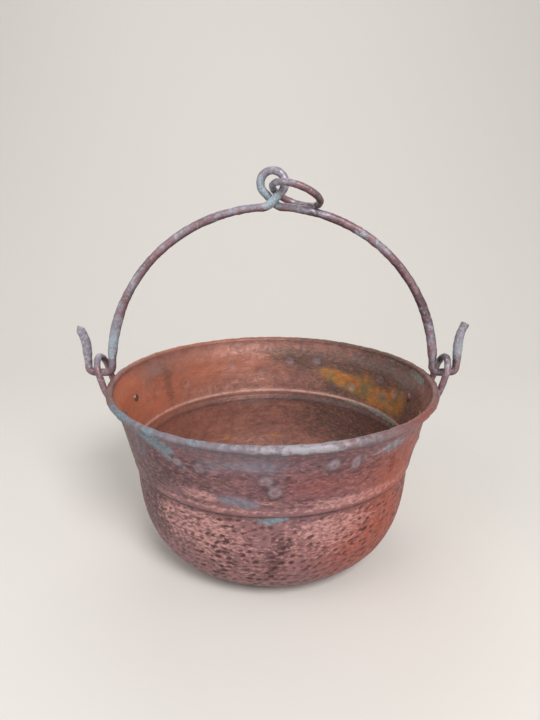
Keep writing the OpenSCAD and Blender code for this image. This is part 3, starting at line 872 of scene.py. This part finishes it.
# Patches on the wires: x, y, z of the middle, width, amount
wireStains = {
    "verdigris": [
        (-59.6, -1.5, 80.6, 14, 0.9), (-60.9, -1.5, 74.5, 7, 0.5), (-0.6, -2.6, 131.3, 9, 1.2),
        (2.6, -1, 129.6, 6, 0.8), (-3.6, -1, 134.4, 6, 1), (-4.6, -0.5, 138, 5, 0.7),
        (58.2, -1, 80.5, 3.2, 0.7), (30.4, -1.2, 119, 5, 1), (-20, 1.5, 125, 9, 0.8),
        (36, 1.5, 117, 12, 0.7), (-50, 1.5, 103, 10, 0.6), (-69, 1, 70, 5, 0.6), (64, -5, 62, 9, 0.8),
        (-64, -6.2, 61, 3, 0.4), (70, 0, 79, 16, 0.75), (59, 0, 75, 7, 0.5), (-67, 0, 64.5, 5, 0.4),
    ],
    "lilac": [
        (-60, 0, 84, 26, 1), (-50, 0, 103, 18, 0.6), (-32, 0, 117, 24, 0.6), (-12, 0, 127.3, 22, 0.7),
        (-1, -1.5, 136.6, 17, 1.1), (-70.8, 0, 78.9, 22, 0.9), (69.4, 0, 80.9, 26, 1),
        (16, 0, 127, 16, 0.6), (36, 0, 114, 20, 0.35), (52, -1, 92, 16, 0.45), (8, -1, 135.5, 18, 0.9),
        (64, 0, 71, 10, 0.5),
    ],
    # Dark patches, partly dark patina and partly painted shade on the right leg and at the ring's right end
    "under": [
        (52, 0, 94, 40, 0.75), (65, 0, 73, 9, 1.2), (-64, 0, 73, 7, 0.5), (15.4, 0, 128.5, 7, 1),
        (6, 0, 131.5, 6, 0.5), (-66, 0, 66, 12, 0.4), (66, 0, 64, 16, 0.5), (26, 0, 119.5, 12, 0.4),
    ],
}


def paintWire(obj):
    # Painted shade: faces that look down, right or back are darker and less lilac than the rest, and faces
    # turned up, left or front a little more lilac
    verdigris, lilac, under = (blobs(obj, rows) for rows in wireStains.values())
    faceOut = np.empty(len(obj.data.vertices) * 3)
    obj.data.vertices.foreach_get("normal", faceOut)
    shaded = np.clip(faceOut.reshape(-1, 3) @ (0.45, 0.2, -0.85), -0.2, 1)
    paint(obj, "patina", [verdigris, lilac - 0.3 * shaded, under + 0.75 * shaded])


wireNoise = {"fine": (0.5, 5), "grain": (1.5, 6, 0.6), "mottle": (3.6, 6, 0.6, 0.5), "cloud": (14, 4)}
wireTints = {
    # The two tones of a mottled layer, then single tones
    "brown": ("#8a6b70", "#62484e"), "grey": ("#aaa4ae", "#79727e"), "crust": ("#7b8f9a", "#a6b9c0"),
    "clouds": "#a0828a", "bloom": "#b3a9b2", "under": "#41333a", "pocks": "#4d3c3d",
}


def wireFinish():
    finish, tree, where = newFinish("patinatedWire")
    tint = wireTints
    fine, grain, mottle, cloud = (speckle(tree, where, *row) for row in wireNoise.values())
    verdigris, lilac, under = painted(tree, "patina")[:3]
    specks = step(tree, maths(tree, "ADD", grain, fine), 1.2, 1.34, 0.0, 0.7)
    green = maths(tree, "MAXIMUM", ragged(tree, verdigris, grain, 3.0, 0.45, 1.05), specks)
    base = laid(tree, toned(tree, mottle, 0.38, 0.62, tint["brown"]), [
        (step(tree, cloud, 0.4, 0.62), 0.55, tint["clouds"]),
        # Lilac grey, less of it on the painted shade side of each wire
        (ragged(tree, lilac, mottle, 2.6, 0.35, 0.9), 1.0, toned(tree, grain, 0.38, 0.62, tint["grey"])),
        (step(tree, grain, 0.54, 0.66), 0.5, tint["bloom"]),
        # Dark patina and painted shade, the shade on faces turned down, right or back
        (ragged(tree, under, grain), 0.7, tint["under"]),
        (step(tree, fine, 0.56, 0.68), 0.55, tint["pocks"]),
        (green, 0.85, toned(tree, fine, 0.38, 0.62, tint["crust"])),
    ])
    rough = maths(tree, "ADD", step(tree, grain, 0.3, 0.7, 0.4, 0.56), times(tree, green, 0.25))
    shine = maths(tree, "SUBTRACT", step(tree, mottle, 0.3, 0.7, 0.5, 0.3), times(tree, green, 0.3))
    height = maths(tree, "ADD", times(tree, fine, 0.5), times(tree, green, 0.5))
    intoShader(tree, base, rough, shine, height, 0.6, 0.2)
    return finish


def bailLine():
    # From the left tip to the right one; above the crown the strands cross, one before the other
    radius, bend = bail["radius"], bail["bendR"]
    hookX = radius + bail["hookGap"]
    elbow = math.degrees(math.asin(bend / (radius + bend)))
    arm = [radius * heading(90 - bail["crownTurn"])]
    bentOn(arm, -bail["crownTurn"], radius, elbow + bail["crownTurn"] - 90)
    bentOn(arm, elbow - 90, bend, 90 - elbow)
    straightOn(arm, np.array([hookX - bend, 0]))
    bentOn(arm, 0, bend, 90)
    straightOn(arm, np.array([hookX, bail["hookStraight"]]))
    bentOn(arm, 90, bail["flareR"], -bail["flareTurn"])
    straightOn(arm, arm[-1] + bail["tip"] * heading(90 - bail["flareTurn"]))
    half = [p * (-1, 1) for p in arm[::-1]]
    slope, eyeR = bail["slope"], (bail["eyeHole"] + bail["wire"]) / 2
    eye = np.array([0, radius + bail["eyeRise"]])
    neckEnd = eye + eyeR * heading(slope - 90)
    side = neckEnd + bail["neckBendR"] * heading(slope + 90)
    reach = side @ heading(slope)
    inwards = reach - math.sqrt(reach ** 2 - side @ side + (radius + bail["neckBendR"]) ** 2)
    centre = side - inwards * heading(slope)
    neck = math.degrees(math.atan2(centre[1], centre[0]))
    crownStart = len(half)
    bentOn(half, bail["crownTurn"], radius, neck - 90 - bail["crownTurn"])
    neckStart = len(half)
    bentOn(half, neck - 90, bail["neckBendR"], slope + 90 - neck)
    straightOn(half, neckEnd)
    aside = easeIn(np.arange(len(half)), crownStart, neckStart) * (bail["wire"] + bail["strandGap"]) / 2
    left = np.stack([np.array(half)[:, 0], -aside, np.array(half)[:, 1]], axis=1)
    loop = [neckEnd]
    bentOn(loop, slope, eyeR, 360 - 2 * slope)
    loop = np.array(loop)[1:-1]
    across = (easeIn(np.arange(len(loop)), 0, len(loop) - 1) * 2 - 1) * aside[-1]
    loop = np.stack([loop[:, 0], across, loop[:, 1]], axis=1)
    line = np.concatenate([left, loop, left[::-1] * (-1, -1, 1)])
    line[line[:, 0] < bend - hookX, 2] *= bail["leftHook"]  # this hook is the shorter one
    return line + (0, 0, bail["axisH"])


flattened = {  # how much wider the hammer left the legs and hooks, and at which heights
    "leftLeg": 0.24, "rightLeg": 0.17, "hook": 0.14, "side": 30,
    "rise": (5, 9), "legs": (84, 30), "hookEnd": (81, 85),
}


def flattenLegs(obj, line):
    across, height = line[:, 0], line[:, 2]
    rise = easeIn(height - bail["axisH"], *flattened["rise"])
    leg = np.where(across < 0, flattened["leftLeg"], flattened["rightLeg"]) * rise
    leg *= band(height, *flattened["legs"]) * (np.abs(across) > flattened["side"])
    hook = flattened["hook"] * rise * (1 - easeIn(height, *flattened["hookEnd"]))
    amount = np.where(np.abs(across) > bail["radius"] + bail["wire"], hook, leg)
    xyz = places(obj) / mm
    high = xyz[:, 2] > bail["axisH"] + flattened["rise"][0]
    for i in np.nonzero((np.abs(xyz[:, 0]) > flattened["side"]) & high)[0]:
        near = np.argmin(np.sum((line - xyz[i]) ** 2, axis=1))
        xyz[i, 0] += (xyz[i, 0] - line[near, 0]) * amount[near]
        xyz[i, 1] -= (xyz[i, 1] - line[near, 1]) * amount[near] * 0.5
    setPlaces(obj, xyz * mm)


def makeBail(finish):
    points, run = evenly(bailLine(), bail["spacing"], np.arange(1, 8) * bail["tipRound"] / 8)
    fromTip = np.clip(np.minimum(run, run[-1] - run) / bail["tipRound"], 0, 1)
    slim = 1 - bail["tipRound"] / (bail["wire"] / 2) * (1 - np.sqrt(1 - (1 - fromTip) ** 2))
    slim *= 1 + 0.018 * np.sin(run / 3.1) + 0.014 * np.sin(run / 1.7 + 1)  # drawn a little unevenly
    aboveEars = easeIn(points[:, 2], bail["axisH"] + 4, bail["axisH"] + 8)
    slim *= 1 + 0.06 * easeIn(np.abs(points[:, 0]), 14, 20) * aboveEars
    obj = drawnWire("wireBail", points, bail["wire"], bail["bevel"], slim)
    flattenLegs(obj, points)
    dented(obj, (points[0], points[-1]))
    paintWire(obj)
    finishPiece(obj, finish, "bail", "bail")


def makeRing(finish):
    middleR, wireR = ring["across"] / 2 * mm, ring["wire"] / 2 * mm
    bpy.ops.mesh.primitive_torus_add(major_segments=ring["steps"], minor_segments=ring["bevelSteps"],
                                     major_radius=middleR, minor_radius=wireR, location=(middleR, 0, 0))
    obj = bpy.context.active_object
    obj.name = obj.data.name = "hangingRing"
    bpy.ops.object.transform_apply()
    obj.rotation_euler = (math.radians(-ring["roll"]), 0, 0)
    bpy.ops.object.transform_apply()
    obj.rotation_euler = (0, math.radians(ring["drop"]), 0)
    obj.location = (0, 0, ring["pivotH"] * mm)
    bpy.ops.object.transform_apply()
    dented(obj)
    paintWire(obj)
    finishPiece(obj, finish, "ring", "hanging_ring")


def rivetPlace(side):
    # Where the rear rivet crosses the middle of the wall, and the ways out of and up the wall there
    height = pan["rimH"] - ear["rivetDrop"]
    foot = middle[zoneEnds["step"]]
    rise = middle[zoneEnds["wall"]] - foot
    wallR = foot[0] + rise[0] * (height - foot[1]) / rise[1]
    rise /= norm(rise)
    turn = math.asin(ear["rivetSpan"] / 2 / wallR)
    away = np.array([side * math.cos(turn), math.sin(turn)])
    spot = np.array([*(wallR * away), height])
    return spot, np.array([*(rise[1] * away), -rise[0]]), np.array([*(rise[0] * away), rise[1]])


def earLine(side):
    # Half an ear, from the end of its rear foot up to the top of its arch
    up = np.array([side * math.sin(earLean), 0, math.cos(earLean)])
    sideways = np.array([0, 1, 0])
    axis = np.array([side * earX, 0, bail["axisH"]])
    spot, out, wallUp = rivetPlace(side)
    seat = spot + out * (pan["sheet"] / 2 + ear["seatGap"] + ear["footT"] / 2)
    footEnd = seat - wallUp * ear["footD"] / 2
    footTop = seat + wallUp * ear["footD"] / 2
    archR = ear["width"] / 2
    limbEnd = axis + sideways * archR - up * ear["limb"]
    archMiddle = axis + up * (ear["above"] - archR)
    foot = footEnd + (footTop - footEnd) * np.linspace(0, 1, 30)[:, None]
    limb = curveBetween(footTop, wallUp, limbEnd, up, ear["hold"], 29)
    turned = np.radians(np.linspace(0, 90, 50))[:, None]
    arch = archMiddle + archR * (np.cos(turned) * sideways + np.sin(turned) * up)
    return np.concatenate([foot, limb[1:], arch]), out


def makeEar(side, name, node, finish):
    half, out = earLine(side)
    mirrored = half[::-1][1:] * (1, -1, 1)
    points, run = evenly(np.concatenate([half, mirrored]), ear["spacing"])
    obj = drawnWire(name, points, ear["wire"], ear["bevel"])
    xyz = places(obj) / mm
    nearest = np.array([np.argmin(((points - v) ** 2).sum(axis=1)) for v in xyz])
    going = np.gradient(points, axis=0)
    going /= norm(going, axis=1)[:, None]
    across = np.cross(going, np.where(points[:, 1:2] < 0, out * (1, -1, 1), out))
    across /= norm(across, axis=1)[:, None]
    normal = np.cross(across, going)
    # Above each rivet the wire is round; towards the foot it is hammered wide and thin
    radius, footD = ear["wire"] / 2, ear["footD"]
    aboveRivet = np.minimum(run, run[-1] - run) - footD / 2
    disc = np.sqrt(np.clip(1 - (aboveRivet / (footD / 2 + 0.05)) ** 2, 0.02, 1)) * footD / 2
    neckTop = footD * 0.5 + ear["neck"]
    spread = easeIn(aboveRivet, footD * ear["widenAt"], neckTop)
    neckHalf = ear["tongueW"] / 2 + (radius - ear["tongueW"] / 2) * spread
    wide = np.where(aboveRivet > 0, np.maximum(disc, neckHalf), disc)
    rounding = easeIn(aboveRivet, footD * ear["thickenAt"], neckTop)
    thick = ear["footT"] / 2 + (radius - ear["footT"] / 2) * rounding
    gap, moved = xyz - points[nearest], points[nearest]
    for way, grown in ((going, np.ones(len(run))), (across, wide / radius), (normal, thick / radius)):
        part = (gap * way[nearest]).sum(axis=1)[:, None]
        moved += way[nearest] * part * grown[nearest][:, None]
    setPlaces(obj, moved * mm)
    dented(obj)
    paintWire(obj)
    finishPiece(obj, finish, "pan", node)


def rivetFinish():
    finish, tree, where = newFinish("tarnishedRivet")
    fine, grain = speckle(tree, where, 0.4, 5), speckle(tree, where, 1.2, 5, 0.6)
    base = laid(tree, toned(tree, grain, 0.35, 0.65, ("#a07a70", "#6f4f4a")), [
        (step(tree, fine, 0.58, 0.7), 0.6, "#a9adb2")])
    intoShader(tree, base, step(tree, grain, 0.3, 0.7, 0.35, 0.5), 0.7, fine, 0.5, 0.1)
    return finish


def ironFinish():
    finish, tree, where = newFinish("blackIron")
    grain = speckle(tree, where, 0.6, 4)
    base = toned(tree, grain, 0.4, 0.65, ("#3a3433", "#5a463c"))
    intoShader(tree, base, 0.6, 0.6, grain, 0.4, 0.05)
    return finish


def dressNode(name, finish):
    for slot in frame["nodes"][name].material_slots:
        slot.material = finish


wirePatina = wireFinish()
makeBail(wirePatina)
makeRing(wirePatina)
makeEar(-1, "leftWireEar", "left_ear", wirePatina)
makeEar(1, "rightWireEar", "right_ear", wirePatina)
rivetPatina = rivetFinish()
for node in ("left_front_rivet", "left_rear_rivet", "right_front_rivet", "right_rear_rivet"):
    dressNode(node, rivetPatina)
dressNode("rim_wire", ironFinish())
